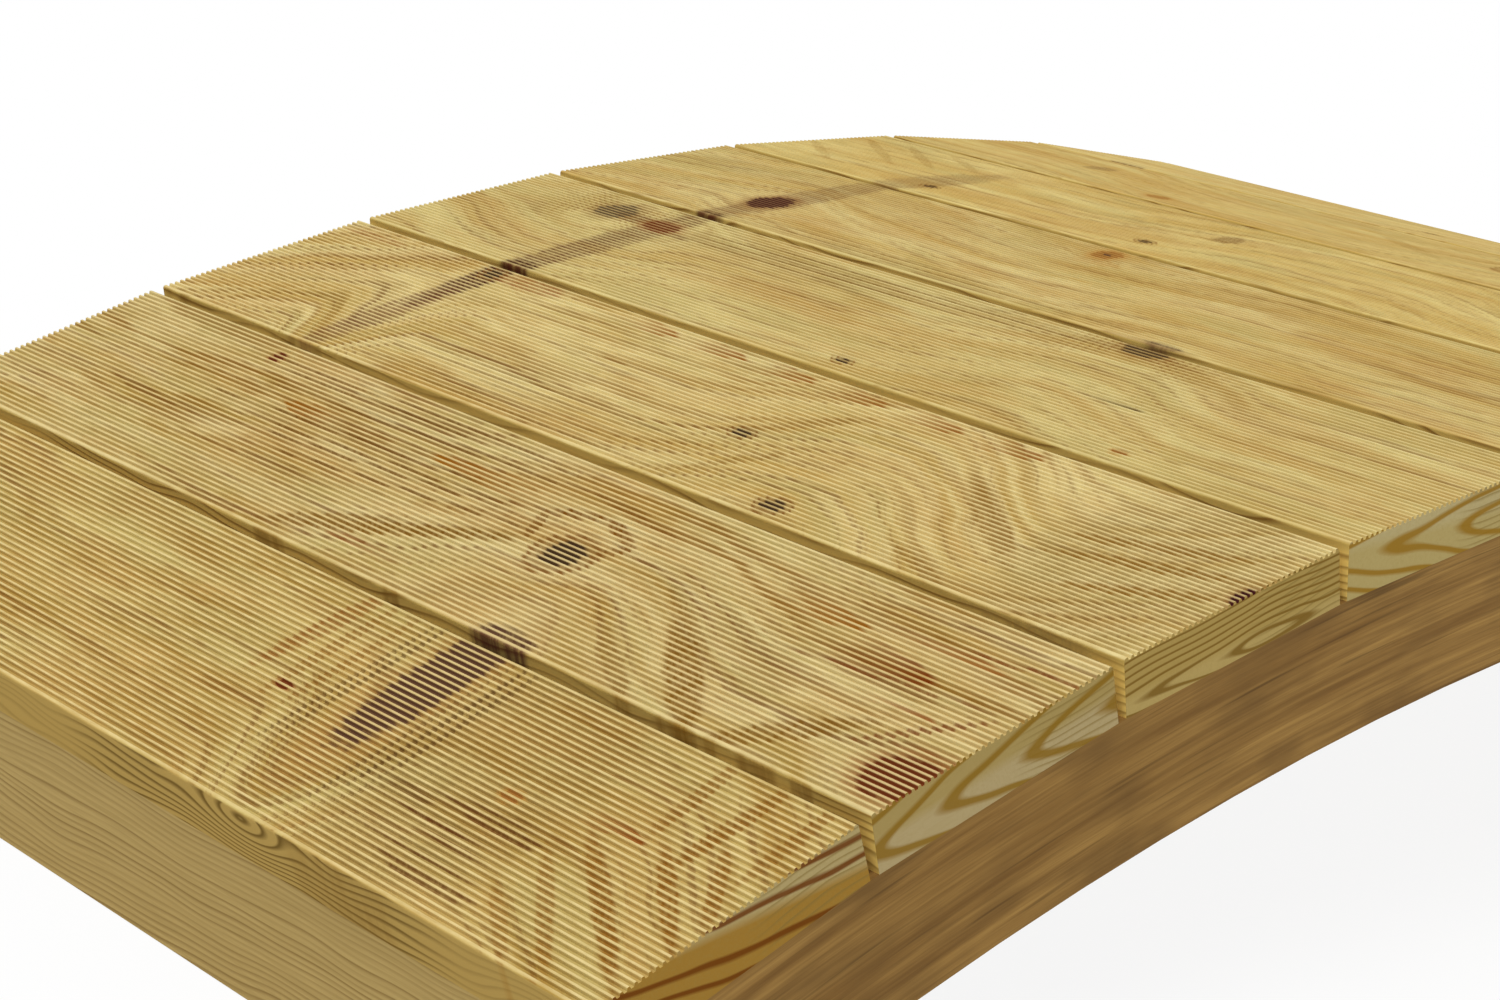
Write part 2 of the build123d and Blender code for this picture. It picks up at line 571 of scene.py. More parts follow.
    edge_wood, edge_late, lip_shade = (
        add(tree, "ShaderNodeMix", {0: far_share, 6: paint(near), 7: paint(far)}, data_type="RGBA")
        for near, far in zip(near_edge[:3], far_edge[:3])
    )
    # In a joint the wall is painted lighter deep down and darker towards its lip: painted light and
    # painted shade that even out the joint
    lip_shade_share = add(
        tree,
        "ShaderNodeMapRange",
        {"Value": spot.outputs["Z"], "From Min": BOARD_THICKNESS - 6, "From Max": BOARD_THICKNESS - 1},
    )
    edge_wood = add(tree, "ShaderNodeMix", {0: lip_shade_share, 6: edge_wood, 7: lip_shade}, data_type="RGBA")
    edge_wood = add(tree, "ShaderNodeMix", {0: layer_line, 6: edge_wood, 7: edge_late}, data_type="RGBA")
    mark_share = add(
        tree,
        "ShaderNodeMapRange",
        {"Value": far_share, "To Min": near_edge[3], "To Max": far_edge[3]},
    )
    mark_share = add(tree, "ShaderNodeMath", {0: mark_share, 1: wall_share}, operation="MULTIPLY")
    edge_wood = add(tree, "ShaderNodeMix", {0: mark_share, 6: edge_wood, 7: edge_late}, data_type="RGBA")
    side = add(tree, "ShaderNodeMath", {0: spot.outputs["X"]}, operation="ABSOLUTE")
    edge_share = add(
        tree,
        "ShaderNodeMapRange",
        {"Value": side, "From Min": BOARD_HALF_WIDTH - 0.4, "From Max": BOARD_HALF_WIDTH - 0.1},
    )
    colour = add(tree, "ShaderNodeMix", {0: edge_share, 6: colour, 7: edge_wood}, data_type="RGBA")

    # Tongues of rust-coloured latewood with a sharp tip
    for across, tip, length, half_width, shade, share in tongues:
        toward = add(
            tree,
            "ShaderNodeMapping",
            {"Vector": local, "Location": (across, tip, 0), "Scale": (half_width, length, 1)},
            vector_type="TEXTURE",
        )
        inside = add(tree, "ShaderNodeSeparateXYZ", {0: toward})
        spread = add(
            tree,
            "ShaderNodeMath",
            {0: inside.outputs["X"], 1: inside.outputs["X"]},
            operation="MULTIPLY",
        )
        depth = add(
            tree,
            "ShaderNodeMath",
            {0: spread, 1: -0.6, 2: inside.outputs["Y"]},
            operation="MULTIPLY_ADD",
        )
        depth = add(tree, "ShaderNodeMath", {0: rag, 1: 0.3, 2: depth}, operation="MULTIPLY_ADD")
        edge = add(tree, "ShaderNodeMapRange", {"Value": depth, "From Min": 0.15, "From Max": 0.25})
        fade = add(
            tree,
            "ShaderNodeMapRange",
            {
                "Value": inside.outputs["Y"],
                "From Min": 0.1,
                "From Max": 1.0,
                "To Min": share,
                "To Max": 0,
            },
        )
        tongue_share = add(tree, "ShaderNodeMath", {0: edge, 1: fade}, operation="MULTIPLY")
        tongue_share = add(tree, "ShaderNodeMath", {0: tongue_share, 1: off_highlight}, operation="MULTIPLY")
        colour = add(
            tree,
            "ShaderNodeMix",
            {0: tongue_share, 6: colour, 7: paint(shade)},
            data_type="RGBA",
        )

    # Dark stains in strands that run across the board, and the knots over them with their arcs and halos
    strands = add(
        tree,
        "ShaderNodeMapping",
        {"Vector": local, "Location": (seed, seed, 0), "Scale": (1 / 45, 1 / 3.4, 1 / 60)},
    )
    strand = add(tree, "ShaderNodeTexNoise", {"Vector": strands, "Scale": 1, "Detail": 2})
    strand_share = add(
        tree,
        "ShaderNodeMapRange",
        {"Value": strand, "From Min": 0.35, "From Max": 0.6, "To Min": 0.6},
    )
    strand_share = add(tree, "ShaderNodeMath", {0: strand_share, 1: off_highlight}, operation="MULTIPLY")
    for shade, spots in stains.items():
        coat = 0.0
        for across, middle, half_across, half_along, turn, share in spots:
            toward = add(
                tree,
                "ShaderNodeMapping",
                {
                    "Vector": local,
                    "Location": (across, middle, 0),
                    "Rotation": (0, 0, radians(turn)),
                    "Scale": (half_across, half_along, RIGHT_THROUGH),
                },
                vector_type="TEXTURE",
            )
            away = add(tree, "ShaderNodeVectorMath", {0: toward}, operation="LENGTH")
            away = add(tree, "ShaderNodeMath", {0: rag, 1: 0.8, 2: away}, operation="MULTIPLY_ADD")
            stain_share = add(
                tree,
                "ShaderNodeMapRange",
                {"Value": away, "From Min": 1.15, "From Max": 1.55, "To Min": share, "To Max": 0},
                interpolation_type="SMOOTHSTEP",
            )
            coat = add(tree, "ShaderNodeMath", {0: stain_share, 1: coat}, operation="MAXIMUM")
        coat = add(tree, "ShaderNodeMath", {0: coat, 1: strand_share}, operation="MULTIPLY")
        colour = add(tree, "ShaderNodeMix", {0: coat, 6: colour, 7: paint(shade)}, data_type="RGBA")
    for edge, kind, across, middle, half_along in hearts:
        if KNOT_COLOURS[kind] is None:
            continue
        heart, halo = (paint(code) for code in KNOT_COLOURS[kind])
        marks = []
        if kind in ARCED_KNOTS:
            around = add(
                tree,
                "ShaderNodeMapping",
                {
                    "Vector": local,
                    "Location": (across, middle, 0),
                    "Scale": (1.4 * half_along, half_along, RIGHT_THROUGH),
                },
                vector_type="TEXTURE",
            )
            away = add(tree, "ShaderNodeVectorMath", {0: around}, operation="LENGTH")
            away = add(tree, "ShaderNodeMath", {0: ripple, 1: 0.3, 2: away}, operation="MULTIPLY_ADD")
            arc = add(tree, "ShaderNodeMath", {0: away, 1: half_along / ARC_PITCH}, operation="MULTIPLY")
            arc = add(tree, "ShaderNodeMath", {0: arc}, operation="FRACT")
            arc = add(tree, "ShaderNodeMapRange", {"Value": arc, "From Min": 0.45, "From Max": 0.8})
            fade = add(
                tree,
                "ShaderNodeMapRange",
                {"Value": away, "From Min": 1.5, "From Max": 4.4, "To Min": 0.6, "To Max": 0},
            )
            bearing = add(tree, "ShaderNodeVectorMath", {0: around}, operation="NORMALIZE")
            bearing = add(tree, "ShaderNodeSeparateXYZ", {0: bearing})
            bearing = add(tree, "ShaderNodeMath", {0: bearing.outputs["Y"]}, operation="ABSOLUTE")
            beside = add(
                tree,
                "ShaderNodeMapRange",
                {"Value": bearing, "From Min": 0.78, "From Max": 0.92},
            )
            arc_share = add(tree, "ShaderNodeMath", {0: arc, 1: fade}, operation="MULTIPLY")
            arc_share = add(tree, "ShaderNodeMath", {0: arc_share, 1: beside}, operation="MULTIPLY")
            marks.append((arc_share, halo))
        halo_share = add(
            tree,
            "ShaderNodeMapRange",
            {"Value": edge, "From Min": 1.4, "From Max": 2.2, "To Min": 0.6, "To Max": 0},
            interpolation_type="SMOOTHSTEP",
        )
        marks.append((halo_share, halo))
        if kind == RINGED_KNOT:
            ring_in = add(
                tree,
                "ShaderNodeMapRange",
                {"Value": edge, "From Min": 1.75, "From Max": 1.95, "To Max": 0.8},
            )
            ring_out = add(
                tree,
                "ShaderNodeMapRange",
                {"Value": edge, "From Min": 2.05, "From Max": 2.2, "To Min": 1, "To Max": 0},
            )
            ring_share = add(tree, "ShaderNodeMath", {0: ring_in, 1: ring_out}, operation="MULTIPLY")
            marks.append((ring_share, halo))
        heart_share = add(
            tree,
            "ShaderNodeMapRange",
            {"Value": edge, "From Min": 1.38, "From Max": 1.54, "To Min": 1, "To Max": 0},
        )
        marks.append((heart_share, heart))
        for share, shade in marks:
            share = add(tree, "ShaderNodeMath", {0: share, 1: off_highlight}, operation="MULTIPLY")
            colour = add(tree, "ShaderNodeMix", {0: share, 6: colour, 7: shade}, data_type="RGBA")

    # Sawn ends: bold hairpin rings on greyer wood, and fine ones level with the faces
    tip_across, tip_up, tilt, slender, ring_pitch, ring_shade, low_wood, high_wood = rings
    height = add(tree, "ShaderNodeMath", {0: spot.outputs["Z"], 1: tip_up}, operation="SUBTRACT")
    lean = add(
        tree,
        "ShaderNodeMath",
        {0: spot.outputs["X"], 1: tilt, 2: height},
        operation="MULTIPLY_ADD",
    )
    bow = add(
        tree,
        "ShaderNodeMath",
        {0: lean, 1: lean, 2: HAIRPIN_ROUNDING**2},
        operation="MULTIPLY_ADD",
    )
    bow = add(tree, "ShaderNodeMath", {0: bow}, operation="SQRT")
    reach = add(tree, "ShaderNodeMath", {0: spot.outputs["X"], 1: tip_across}, operation="SUBTRACT")
    reach = add(tree, "ShaderNodeMath", {0: reach, 1: slender}, operation="MULTIPLY")
    bow = add(tree, "ShaderNodeMath", {0: bow, 1: -HAIRPIN_STEEPNESS, 2: reach}, operation="MULTIPLY_ADD")
    bow = add(tree, "ShaderNodeMath", {0: rippling, 1: HAIRPIN_WAVE, 2: bow}, operation="MULTIPLY_ADD")
    end_year = add(tree, "ShaderNodeMath", {0: bow, 1: ring_pitch}, operation="DIVIDE")
    end_phase = add(tree, "ShaderNodeMath", {0: end_year}, operation="FRACT")
    end_rise = add(tree, "ShaderNodeMapRange", {"Value": end_phase, "From Min": 0.56, "From Max": 0.74})
    end_fall = add(
        tree,
        "ShaderNodeMapRange",
        {"Value": end_phase, "From Min": 0.9, "From Max": 1.0, "To Min": 0.9, "To Max": 0},
    )
    end_line = add(tree, "ShaderNodeMath", {0: end_rise, 1: end_fall}, operation="MULTIPLY")
    level = add(
        tree,
        "ShaderNodeMath",
        {0: rippling, 1: LEVEL_RING_WAVE, 2: spot.outputs["Z"]},
        operation="MULTIPLY_ADD",
    )
    level = add(
        tree,
        "ShaderNodeMath",
        {0: spot.outputs["X"], 1: LEVEL_RING_TILT, 2: level},
        operation="MULTIPLY_ADD",
    )
    level = add(tree, "ShaderNodeMath", {0: level, 1: LEVEL_RING_PITCH}, operation="DIVIDE")
    level_phase = add(tree, "ShaderNodeMath", {0: level}, operation="FRACT")
    level_line = add(
        tree,
        "ShaderNodeMapRange",
        {"Value": level_phase, "From Min": 0.6, "From Max": 0.9, "To Max": 0.6},
    )
    level_share = add(
        tree,
        "ShaderNodeMapRange",
        {"Value": spot.outputs["X"], "From Min": 5, "From Max": 25},
    )
    level_line = add(tree, "ShaderNodeMath", {0: level_line, 1: level_share}, operation="MULTIPLY")
    high_share = add(tree, "ShaderNodeMapRange", {"Value": lean, "From Min": 1, "From Max": 6})
    end_wood = paint(low_wood)
    end_tones = (
        (high_share, high_wood),
        (fibre_share, "#9c864a"),
        (level_line, "#86703a"),
        (end_line, ring_shade),
    )
    for share, shade in end_tones:
        end_wood = add(tree, "ShaderNodeMix", {0: share, 6: end_wood, 7: paint(shade)}, data_type="RGBA")
    length = add(tree, "ShaderNodeMath", {0: spot.outputs["Y"]}, operation="ABSOLUTE")
    end_share = add(
        tree,
        "ShaderNodeMapRange",
        {"Value": length, "From Min": BOARD_HALF_LENGTH - 0.2, "From Max": BOARD_HALF_LENGTH - 0.1},
    )
    colour = add(tree, "ShaderNodeMix", {0: end_share, 6: colour, 7: end_wood}, data_type="RGBA")

    relief = add(tree, "ShaderNodeBump", {"Strength": 0.3, "Distance": 0.3 * MM, "Height": fibre})
    surface = add(
        tree,
        "ShaderNodeBsdfPrincipled",
        {"Base Color": colour, "Roughness": 0.8, "Specular IOR Level": 0.0, "Normal": relief},
    )
    add(tree, "ShaderNodeOutputMaterial", {"Surface": surface})
    return material


# Each board's wood, in the order of the function above:
# woods: its earlywood and its deep tone
# grain_pitch: the spacing of its growth bands, and figure: how bold they are
# swerves: begin, end, lift
# knots: kind, across, along, half across, half along
# stains, by shade: across, along, half across, half along, turn in degrees, share
# tongues: across, tip, length from the tip, half width, shade, share
# swirls on its long edges: along, up, half along, half up
# rings on its sawn ends: hairpin tip across, up, tilt, slenderness, pitch, shade, lower and upper wood
# last: how strongly its rib crests are painted pale, as a highlight
BOARDS = [
    dict(
        woods=("#cdb672", "#b4944b"),
        grain_pitch=22,
        figure=0.5,
        swerves=[(-420, -268, 60)],
        knots=[("spike", 48, -134, 68, 17.5), ("rust", 4, -235, 4, 6), ("red", 1, -73, 2.5, 6)],
        stains={
            "#84622c": [(10, -212, 95, 58, 0, 0.4)],
            "#9a6820": [
                (46, -361, 32, 4, 2, 0.75),
                (40, -332, 36, 5, -3, 0.85),
                (46, -304, 30, 4.5, 5, 0.7),
                (10, -357, 30, 4, 39, 0.85),
                (-4, -344, 38, 4.5, 51, 0.9),
                (-22, -325, 56, 5, 55, 0.85),
                (-38, -309, 48, 4, 50, 0.65),
                (-52, -297, 30, 3.5, 54, 0.55),
                (30, -85, 44, 3, 0, 0.6),
                (30, -68, 44, 4, 0, 0.55),
            ],
            "#b58432": [(40, -225, 34, 42, 0, 0.25)],
            "#a26c2e": [(44, -50, 42, 7, -8, 0.8)],
            "#6a4720": [
                (34, -173, 62, 2.2, 0, 0.6),
                (24, -165, 62, 2.0, 0, 0.7),
                (12, -157, 60, 1.8, 0, 0.6),
                (30, -104, 58, 2.0, 0, 0.6),
                (22, -97, 62, 1.8, 0, 0.6),
            ],
            "#74441e": [
                (-7, -248, 1.4, 28, 0, 0.8),
                (-11, -240, 1.4, 40, 0, 0.8),
                (-15, -252, 1.6, 24, 0, 0.8),
                (-25, -222, 1.6, 54, 0, 0.9),
                (-32, -240, 1.6, 36, 0, 0.7),
                (-43, -228, 1.4, 60, 0, 0.8),
                (-51, -246, 1.4, 36, 0, 0.75),
                (-55, -252, 1.4, 28, 0, 0.7),
            ],
        },
        tongues=[(14, -312, 44, 5, "#9c5a20", 0.95), (-18, -216, 56, 4, "#6a3a1a", 0.8)],
        swirls=[(-140, 24, 24, 9)],
        rings=(-40, 19, 0.21, 0.1, 41, "#6f3b10", "#a07a34", "#b3a06e"),
        crest_highlight=0.74,
    ),
    dict(
        woods=("#d9c78e", "#b99b52"),
        grain_pitch=17,
        figure=0.85,
        swerves=[(-260, -120, 28), (-80, 80, -26)],
        knots=[
            ("slate", 0, -93, 11, 12.5),
            ("red", -43, -365, 17, 20),
            ("red", 56, 226, 5, 5),
            ("bent", -66, -120, 30, 42),
        ],
        stains={
            "#5a2a26": [(-68, -133, 10, 20, 0, 0.85)],
            "#96702e": [
                (-72, -51, 6, 7, 0, 0.6),
                (-72, -255, 6, 16, 0, 0.65),
                (-72, -304, 6, 13, 0, 0.6),
                (-72, -334, 6, 8, 0, 0.6),
                (-72, 50, 6, 14, 0, 0.65),
            ],
            "#94691f": [
                (-40, -226, 54, 9, 50, 0.9),
                (-46, -298, 38, 8, -43, 0.85),
                (-30, -2, 66, 6.5, -64, 0.9),
                (-6, -190, 42, 4, 62, 0.6),
                (-54, -196, 36, 5, 58, 0.6),
                (-44, 40, 38, 5.5, -58, 0.75),
            ],
            "#946424": [
                (30, -100, 18, 4.2, 68, 1.0),
                (31, -68, 19, 4.2, -73, 1.0),
                (15, -112, 12, 3.4, -30, 0.9),
                (14, -57, 16, 3.4, 28, 0.9),
                (45, -92, 38, 2.8, 82, 0.7),
            ],
            "#855a20": [
                (12, 60, 1.6, 130, 4, 0.75),
                (5, 70, 1.6, 130, 5, 0.75),
                (-3, 40, 1.6, 110, 6, 0.75),
                (19, 110, 1.6, 120, 3, 0.7),
                (42, 60, 1.6, 150, 3, 0.6),
                (52, 110, 1.6, 140, 2, 0.7),
                (59, 100, 1.6, 160, 1, 0.7),
            ],
            "#8f4f20": [
                (-12, -346, 30, 2.8, -42, 0.85),
                (8, -300, 2, 50, 6, 0.7),
                (48, -346, 2, 34, 4, 0.8),
            ],
        },
        tongues=[
            (17, -327, 66, 11, "#8c4212", 1.0),
            (33, -270, 66, 8, "#a9701f", 1.0),
            (31, 52, -100, 9, "#a9701f", 1.0),
            (25, 176, -50, 9, "#a9701f", 1.0),
            (-5, -348, 50, 3, "#a2561f", 0.7),
            (40, -352, 80, 4, "#ae6a28", 0.7),
            (-50, 30, -70, 5, "#9c5c24", 0.7),
        ],
        swirls=[],
        rings=(-12, 11, 0.0, 1.0, 50, "#8c6a20", "#b3a074", "#a8925a"),
        crest_highlight=0.7,
    ),
    dict(
        woods=("#e4d396", "#caac62"),
        grain_pitch=16,
        figure=0.6,
        swerves=[(-400, -272, -60), (-272, -140, 70), (-140, 10, -55), (245, 400, -70)],
        knots=[
            ("slate", -6, -61, 4, 6),
            ("slate", -56, -139, 6, 7),
            ("slate", 61, 230, 6, 6),
            ("bent", 40, 231, 60, 14),
            ("purple", 7, -376, 10, 7),
        ],
        stains={
            "#5c2618": [(64, 231, 62, 12, 0, 0.95)],
            "#80472c": [(-20, 231, 60, 13, 0, 0.6)],
            "#a4602a": [(62, 198, 9, 32, 0, 0.6), (58, 340, 5, 30, 0, 0.4)],
            "#a88a4c": [(0, -322, 95, 62, 0, 0.6)],
            "#a0762c": [
                (-2, -230, 54, 8, 53, 0.7),
                (22, -313, 48, 5, -71, 0.85),
                (4, -321, 54, 5, -72, 0.85),
                (-16, -338, 40, 5, -64, 0.85),
                (22, -80, 34, 5, -42, 0.6),
                (-58, -238, 32, 4, 70, 0.65),
                (-30, -85, 28, 4, -35, 0.55),
            ],
            "#8a6428": [
                (-30, 60, 1.6, 140, 0, 0.45),
                (-38, 90, 1.6, 120, 0, 0.45),
                (-46, 40, 1.6, 130, 0, 0.5),
                (-53, 70, 1.6, 140, 0, 0.55),
                (-61, 60, 1.6, 150, 0, 0.65),
            ],
        },
        tongues=[(61, -206 + 54 * n, 46, 7.5, "#a86e28", 0.95) for n in range(6)],
        swirls=[],
        rings=(30, 4, 0.02, 0.12, 16, "#7d5f26", "#b49c60", "#ab9152"),
        crest_highlight=0.62,
    ),
    dict(
        woods=("#dbca89", "#c7aa62"),
        grain_pitch=18,
        figure=0.3,
        swerves=[(-250, -131, 30), (-131, 0, -30)],
        knots=[
            ("arced", 67, -131, 9, 15),
            ("faded", 43, 277, 14, 15),
            ("slate", -54, -28, 3, 5),
            ("rust", -55, -223, 3, 5),
            ("bent", 30, 255, 40, 40),
            ("red", 40, 231, 9, 15),
        ],
        stains={
            "#703a20": [(0, 231, 100, 15, 0, 0.75)],
            "#4c1c16": [(-68, 231, 10, 14, 0, 0.85)],
            "#6a2c14": [(41, 256, 8, 18, 0, 0.8), (33, 212, 3, 16, 0, 0.6)],
            "#8d6a30": [
                (57, 20, 1.6, 150, 0, 0.7),
                (50, 60, 1.6, 150, 0, 0.75),
                (43, 100, 1.6, 120, 0, 0.8),
                (36, 130, 1.6, 90, 0, 0.75),
                (62, -60, 1.6, 70, 0, 0.6),
                (30, 60, 1.6, 60, 0, 0.5),
            ],
        },
        tongues=[(-4, -197, 50, 1.5, "#5a3d1c", 0.9)],
        swirls=[],
        rings=(-60, 14, 0.1, 0.8, 44, "#967020", "#b3a068", "#b8a878"),
        crest_highlight=0.5,
    ),
    dict(
        woods=("#decb8b", "#cbad63"),
        grain_pitch=18,
        figure=0.22,
        swerves=[(-130, 40, -22), (40, 210, 22), (250, 400, -30)],
        knots=[("purple", -17, 234, 17, 13), ("rust", 57, 23, 11, 9), ("spike", 57, 23, 3, 3)],
        stains={
            "#74452f": [(0, 231, 110, 15, 0, 0.5)],
            "#4c1c16": [(-70, 231, 8, 13, 0, 0.8)],
            "#6a4630": [(-67, -131, 4, 16, 0, 0.8)],
            "#a8843e": [(40, 60, 26, 300, 0, 0.15)],
            "#8d6a30": [
                (-50, 90, 1.6, 150, 0, 0.6),
                (-58, 60, 1.6, 160, 0, 0.6),
                (-64, 110, 1.6, 130, 0, 0.6),
            ],
        },
        tongues=[(40, -5, 40, 8, "#b9822c", 0.4)],
        swirls=[],
        rings=(40, 8, -0.1, 0.7, 36, "#967020", "#bba67a", "#b09a60"),
        crest_highlight=0.25,
    ),
    dict(
        woods=("#e2cf89", "#d2b466"),
        grain_pitch=18,
        figure=0.22,
        swerves=[(-250, -100, 40), (-60, 120, -40)],
        knots=[("slate", -38, 40, 4, 5), ("slate", -43, 218, 4, 5), ("slate", 12, -250, 10, 11)],
        stains={
            "#7d5234": [(-30, 231, 70, 16, 0, 0.5)],
            "#7c5228": [(21, 25, 14, 9, 0, 0.7)],
            "#a37c36": [
                (30, 300, 44, 4, 55, 0.45),
                (20, 330, 48, 4, 55, 0.45),
                (45, 275, 34, 4, 60, 0.4),
                (-20, 345, 40, 4, 55, 0.4),
            ],
        },
        tongues=[],
        swirls=[],
        rings=(-20, 20, 0.15, 0.9, 40, "#967020", "#b3a068", "#b8a878"),
        crest_highlight=0.3,
    ),
    dict(
        woods=("#d9c37a", "#c7a455"),
        grain_pitch=16,
        figure=0.3,
        swerves=[(-330, -150, 60), (-150, 20, -60), (120, 300, 40)],
        knots=[("rust", -47, 151, 8, 9), ("slate", 15, -90, 11, 12)],
        stains={"#6a4028": [(20, 262, 14, 10, 0, 0.65)], "#a37c36": [(10, -10, 50, 6, 60, 0.4)]},
        tongues=[],
        swirls=[],
        rings=(-90, 10, 0.2, 0.2, 20, "#7d5f26", "#b3a068", "#a8935a"),
        crest_highlight=0.4,
    ),
    dict(
        woods=("#dac57d", "#c8a656"),
        grain_pitch=17,
        figure=0.4,
        swerves=[(-200, -40, 70), (-40, 160, -70)],
        knots=[("red", 30, -180, 9, 10), ("slate", -20, 60, 5, 6)],
        stains={"#5a2e24": [(-66, 289, 9, 16, 0, 0.75)], "#a37c36": [(-20, 170, 50, 6, -60, 0.5)]},
        tongues=[],
        swirls=[],
        rings=(20, 22, -0.05, 1.0, 44, "#967020", "#bba67a", "#b09a60"),
        crest_highlight=0.5,
    ),
    dict(
        woods=("#d6c283", "#bd9c52"),
        grain_pitch=15,
        figure=0.7,
        swerves=[(-300, -160, -50), (60, 140, 60), (140, 260, -60)],
        knots=[("slate", 15, 140, 11, 13), ("rust", -40, -240, 6, 7)],
        stains={"#94691f": [(-20, -60, 50, 8, 60, 0.7), (30, -330, 40, 6, -60, 0.7)]},
        tongues=[(48, -90, 80, 9, "#a9701f", 0.8)],
        swirls=[],
        rings=(-50, 16, 0.1, 0.4, 30, "#967020", "#b3a068", "#b8a878"),
        crest_highlight=0.55,
    ),
    dict(
        woods=("#d7c384", "#be9e55"),
        grain_pitch=18,
        figure=0.7,
        swerves=[(-180, -60, 70), (-60, 80, -70), (240, 400, 60)],
        knots=[("purple", -25, -60, 10, 12), ("slate", 45, 250, 7, 8), ("slate", 40, -300, 5, 6)],
        stains={"#5a2e24": [(-60, -62, 22, 14, 0, 0.6)], "#94691f": [(10, 130, 56, 8, -58, 0.7)]},
        tongues=[(20, -250, 60, 9, "#a9701f", 0.8)],
        swirls=[],
        rings=(-10, 12, 0.15, 0.9, 40, "#7d5f26", "#b3a068", "#a8935a"),
        crest_highlight=0.6,
    ),
    dict(
        woods=("#d3bf7f", "#ba9a50"),
        grain_pitch=16,
        figure=0.75,
        swerves=[(-290, -150, 80), (-150, 30, -80)],
        knots=[("slate", 5, 190, 6, 7), ("slate", -30, -150, 13, 13)],
        stains={"#94691f": [(30, 60, 50, 7, 64, 0.7)]},
        tongues=[(20, 330, -90, 10, "#964a18", 0.9), (-20, 40, -80, 8, "#a9701f", 0.8)],
        swirls=[],
        rings=(-80, 20, 0.2, 0.3, 34, "#967020", "#bba67a", "#b09a60"),
        crest_highlight=0.65,
    ),
    dict(
        woods=("#cdb672", "#b4944b"),
        grain_pitch=20,
        figure=0.7,
        swerves=[(-400, -260, 90), (-110, -20, 70), (-20, 120, -70)],
        knots=[("slate", 20, -20, 10, 12), ("red", -35, 280, 12, 11), ("rust", -10, -290, 6, 6)],
        stains={"#94691f": [(-20, 190, 54, 8, -55, 0.75), (30, 130, 40, 6, 50, 0.7)]},
        tongues=[(-30, 60, 90, 8, "#a9701f", 0.8)],
        swirls=[(120, 10, 20, 7)],
        rings=(-30, 14, 0.1, 0.6, 41, "#6f3b10", "#a07a34", "#b3a06e"),
        crest_highlight=0.7,
    ),
]

# Long edges in a joint and at the ends of the deck: wood, latewood, the wood at their lip, and the share
# of the face's bands that runs on down them. In a joint the wood is painted lighter against the shade
# deep down, and the lip darker as painted shade.
SHELTERED_EDGE = ("#e8c970", "#7d541c", "#c1a458", 0.4)
OPEN_EDGE = ("#b29554", "#5c441a", "#b29554", 0.0)
for number, wood in enumerate(BOARDS, start=1):
    slope = (number - (len(BOARDS) + 1) / 2) * BOARD_STEP
    near_edge = OPEN_EDGE if number == 1 else SHELTERED_EDGE
    far_edge = OPEN_EDGE if number == len(BOARDS) else SHELTERED_EDGE
    dress(f"deck_board_{number:02d}", deck_pine(number, slope, (near_edge, far_edge), **wood))

# Studio: a pale floor that fades to white and is clear from below, an even white room and one soft lamp.
# The camera stands where the photograph was taken, with its lens in pixels of a 1500 x 1000 frame.

FLOOR_SIZE = 60
FLOOR_DROP = 0.5 * MM
SHADOW_REACH = 0.7
WHITE_FROM = 1.2
ROOM_LIGHT = 0.5
LAMP_STRENGTH = 1.85
LAMP_SPREAD = radians(40)
LAMP_AIM = Vector((0.6, 0.3, -1))


def seen_share(tree):
    """One for the rays that the eye sees: straight, in gloss and through glass."""
    ray = add(tree, "ShaderNodeLightPath")
    seen = ray.outputs["Is Camera Ray"]
    for kind in ("Is Glossy Ray", "Is Transmission Ray"):
        seen = add(tree, "ShaderNodeMath", {0: seen, 1: ray.outputs[kind]}, operation="MAXIMUM")
    return seen


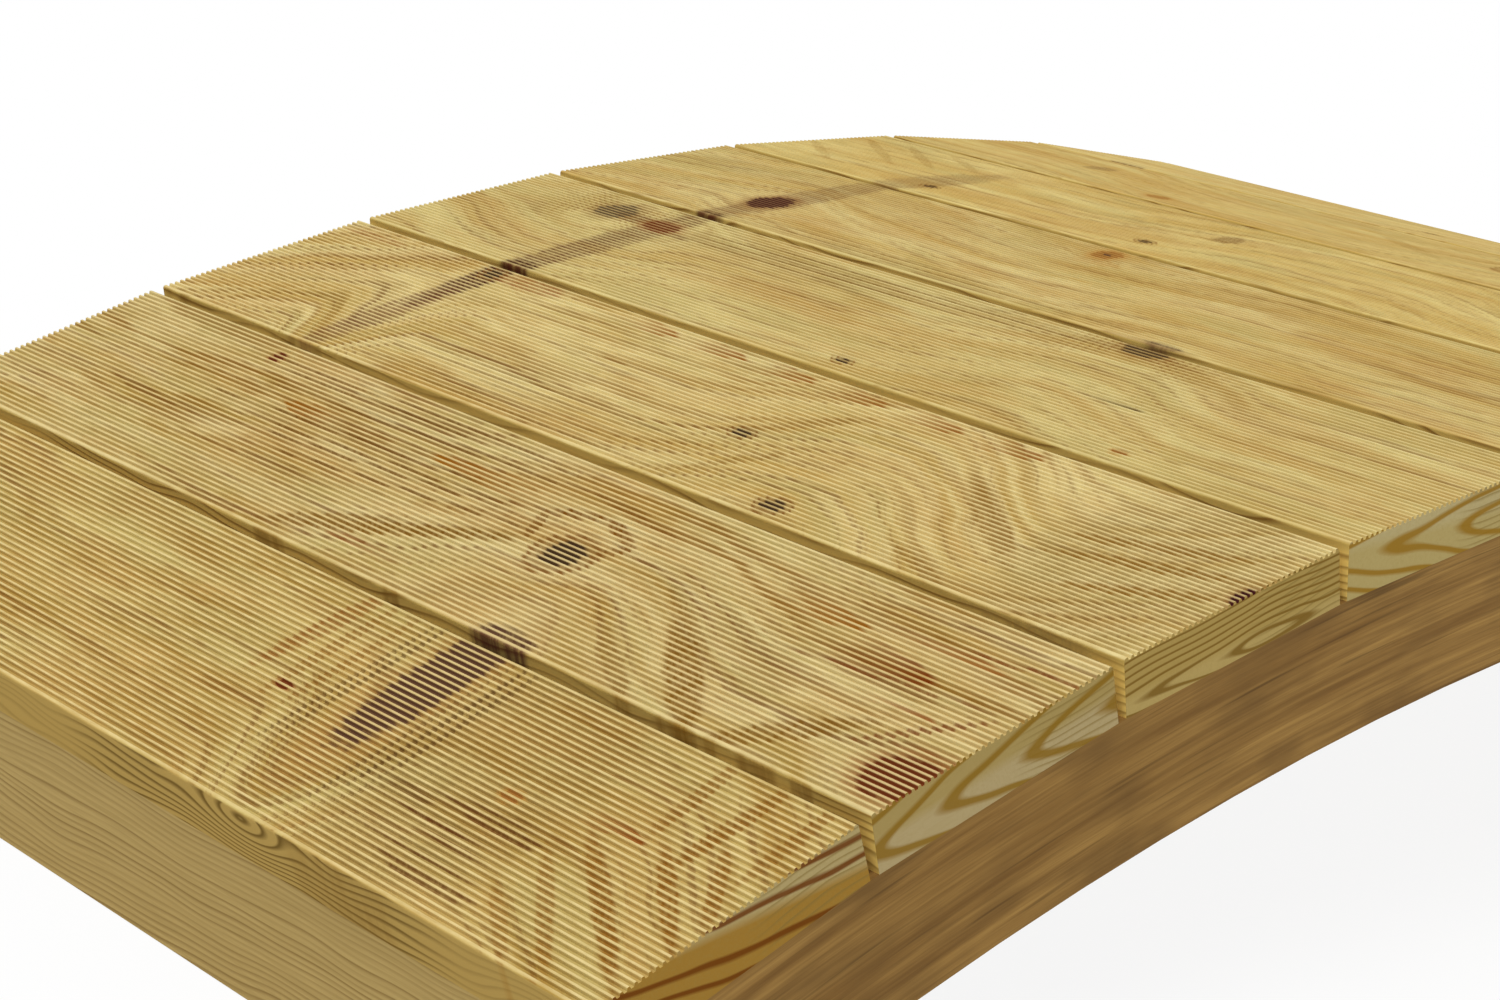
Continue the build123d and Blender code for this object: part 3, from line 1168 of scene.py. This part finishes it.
bpy.ops.object.select_all(action="DESELECT")
bpy.ops.mesh.primitive_plane_add(size=FLOOR_SIZE, location=(0, 0, -FLOOR_DROP))
floor = bpy.context.object
floor.name = "studio_floor"
floor_paint = blank("pale_floor_paint")
tree = floor_paint.node_tree
matt = add(tree, "ShaderNodeBsdfDiffuse", {"Color": paint("#f6f6f4")})
glow = add(tree, "ShaderNodeEmission", {"Color": (1, 1, 1, 1), "Strength": 1})
place = add(tree, "ShaderNodeTexCoord")
distance = add(tree, "ShaderNodeVectorMath", {0: place.outputs["Object"]}, operation="LENGTH")
veil = add(
    tree,
    "ShaderNodeMapRange",
    {"Value": distance, "From Min": SHADOW_REACH, "From Max": WHITE_FROM, "To Min": 0.9},
    interpolation_type="SMOOTHSTEP",
)
white_share = add(tree, "ShaderNodeMath", {0: veil, 1: seen_share(tree)}, operation="MULTIPLY")
upper = add(tree, "ShaderNodeMixShader", {0: white_share, 1: matt, 2: glow})
clear = add(tree, "ShaderNodeBsdfTransparent")
face = add(tree, "ShaderNodeNewGeometry")
surface = add(tree, "ShaderNodeMixShader", {0: face.outputs["Backfacing"], 1: upper, 2: clear})
add(tree, "ShaderNodeOutputMaterial", {"Surface": surface})
floor.data.materials.append(floor_paint)

room = bpy.data.worlds.new("white_room")
bpy.context.scene.world = room
room.use_nodes = True
tree = room.node_tree
tree.nodes.clear()
level = add(tree, "ShaderNodeMapRange", {"Value": seen_share(tree), "To Min": ROOM_LIGHT, "To Max": 1.0})
glow = add(tree, "ShaderNodeBackground", {"Color": (1, 1, 1, 1), "Strength": level})
add(tree, "ShaderNodeOutputWorld", {"Surface": glow})

lamp = bpy.data.lights.new("overhead_softbox", "SUN")
lamp.energy = LAMP_STRENGTH
lamp.angle = LAMP_SPREAD
softbox = bpy.data.objects.new("overhead_softbox", lamp)
bpy.context.collection.objects.link(softbox)
softbox.rotation_euler = LAMP_AIM.to_track_quat("-Z", "Y").to_euler()

FRAME_WIDTH_PX = 1500
FOCAL_PX = 3257.4
AZIMUTH = radians(46.64)
DIP = radians(13.915)
ROLL = radians(6.711)
CAMERA_PLACE = (-1.5915, -1.2129, 0.5653)
view = bpy.data.cameras.new("photo_camera")
view.sensor_width = 36
view.lens = FOCAL_PX / FRAME_WIDTH_PX * view.sensor_width
camera = bpy.data.objects.new("photo_camera", view)
bpy.context.collection.objects.link(camera)
camera.location = CAMERA_PLACE
aim = Vector((cos(AZIMUTH) * cos(DIP), sin(AZIMUTH) * cos(DIP), -sin(DIP)))
camera.rotation_euler = (aim.to_track_quat("-Z", "Y") @ Quaternion((0, 0, 1), ROLL)).to_euler()
bpy.context.scene.camera = camera
bpy.context.scene.view_settings.view_transform = "Standard"
